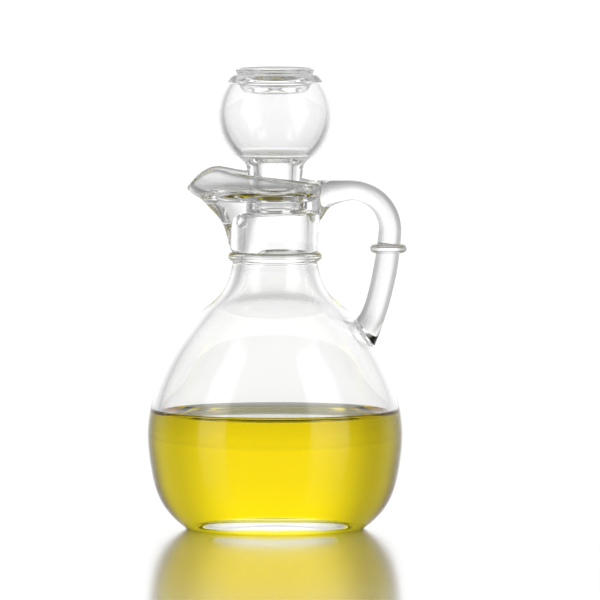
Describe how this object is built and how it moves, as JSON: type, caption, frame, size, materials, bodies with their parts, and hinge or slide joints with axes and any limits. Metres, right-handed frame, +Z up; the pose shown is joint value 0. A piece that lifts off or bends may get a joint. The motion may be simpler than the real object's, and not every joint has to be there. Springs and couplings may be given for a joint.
{
  "type": "oil bottle",
  "caption": "Round-bodied clear glass table cruet for oil, with a pinched spout, bent-rod handle and hollow ball stopper, part filled with yellow oil.",
  "frame": {"origin": "centre of the foot, on the bottle's axis, on the surface it stands on", "axes": "+Z up along the bottle's axis, -X towards the pouring spout, +X towards the handle"},
  "size_m": [0.0821, 0.0808, 0.146],
  "materials": {
    "clear_glass": "fire-polished clear glass",
    "yellow_oil": "clear yellow liquid"
  },
  "bodies": {
    "bottle": {"bottle_body": "clear_glass", "neck_ring": "clear_glass", "handle": "clear_glass", "handle_ring": "clear_glass", "oil": "yellow_oil"},
    "stopper": {"stopper_ball": "clear_glass", "stopper_cup": "clear_glass", "stopper_peg": "clear_glass"}
  },
  "joints": [
    {"name": "stopper_lift", "type": "slide", "parent": "bottle", "child": "stopper", "axis": [0, 0, 1], "range_m": [0, 0.05]}
  ]
}
